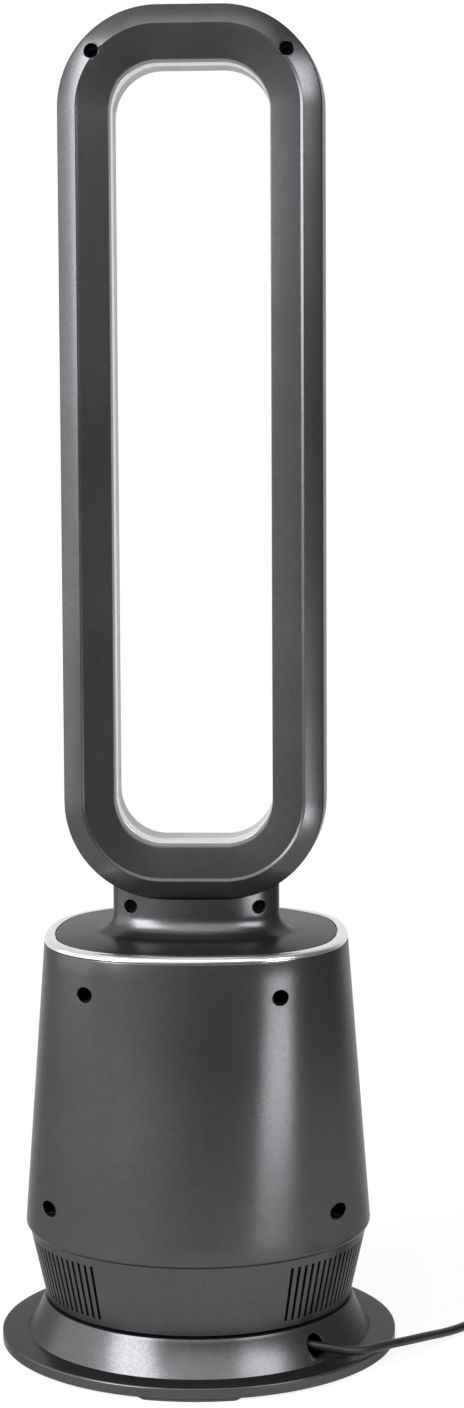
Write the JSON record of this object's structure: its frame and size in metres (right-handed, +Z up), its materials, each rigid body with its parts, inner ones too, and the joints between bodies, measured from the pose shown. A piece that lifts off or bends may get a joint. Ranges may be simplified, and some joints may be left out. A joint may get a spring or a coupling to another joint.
{
  "type": "fan heater",
  "caption": "Bladeless tower fan heater: tall rounded air loop on a tapered body with a slotted intake ring, swivelling on a round foot, with a mains lead.",
  "frame": {"origin": "on the floor at the middle of the round foot", "axes": "+Z up, the pictured rear side faces -Y, +X to the right in the picture, air leaves towards +Y"},
  "size_m": [0.448, 0.28, 0.9336],
  "materials": {
    "gunmetal_plastic": "satin metallic gunmetal",
    "silver_plastic": "satin silver",
    "bright_trim": "satin bright",
    "black_plastic": "matte black",
    "steel": "bright steel",
    "rubber": "matte black",
    "aluminium": "mill",
    "circuit_board": "solder resist",
    "natural_plastic": "natural white",
    "heat_plastic": "heat-proof brown black",
    "pin_metal": "nickel plated",
    "lead_jacket": "satin black jacket",
    "window_plastic": "gloss black"
  },
  "bodies": {
    "base": {"base_shell": "gunmetal_plastic", "base_plate": "black_plastic", "base_plate_screws": "steel", "rubber_feet": "rubber", "slide_ring": "natural_plastic", "swing_motor": "steel", "swing_motor_screws": "steel", "tilt_switch": "black_plastic", "cord_strain_relief": "rubber", "cord_clamp": "black_plastic", "cord_clamp_screws": "steel", "power_cord": "lead_jacket", "cord_coil": "lead_jacket", "plug_lead": "lead_jacket", "cord_tie": "rubber", "plug_body": "black_plastic", "plug_pins": "pin_metal"},
    "tower": {"lower_housing": "gunmetal_plastic", "swivel_gear": "natural_plastic", "gear_screws": "steel", "rear_cover": "gunmetal_plastic", "front_cover": "gunmetal_plastic", "cover_screws": "steel", "control_window": "window_plastic", "control_board": "circuit_board", "trim_ring": "bright_trim", "neck_rear": "gunmetal_plastic", "neck_front": "gunmetal_plastic", "neck_screws": "steel", "loop_rear_shell": "gunmetal_plastic", "outlet_lip": "silver_plastic", "loop_front_shell": "silver_plastic", "loop_screws": "steel", "inlet_bellmouth": "black_plastic", "fan_housing": "black_plastic", "housing_screws": "steel", "diffuser": "black_plastic", "fan_motor": "steel", "motor_bearings": "steel", "motor_dampers": "rubber", "air_duct": "heat_plastic", "heater_frame": "heat_plastic", "ptc_bars": "aluminium", "heater_fins": "aluminium", "thermal_cutout": "heat_plastic", "neck_gasket": "rubber", "power_board": "circuit_board", "board_parts": "black_plastic"},
    "pinion": {"swing_pinion": "natural_plastic", "swing_shaft": "steel"},
    "impeller": {"motor_shaft": "steel", "impeller": "black_plastic", "impeller_nut": "steel"}
  },
  "joints": [
    {"name": "oscillation", "type": "hinge", "parent": "base", "child": "tower", "pos_m": [0, 0, 0.0334], "axis": [0, 0, 1], "range_deg": [-40, 40]},
    {"name": "pinion_turn", "type": "hinge", "parent": "base", "child": "pinion", "pos_m": [-0.0495, 0, 0.0258], "axis": [0, 0, 1], "range_deg": [-107, 107]},
    {"name": "fan_spin", "type": "hinge", "parent": "tower", "child": "impeller", "pos_m": [0, 0, 0.12], "axis": [0, 0, 1], "continuous": true}
  ],
  "couplings": [
    {"joint": "pinion_turn", "follows": "oscillation", "ratio": -2.6667}
  ]
}
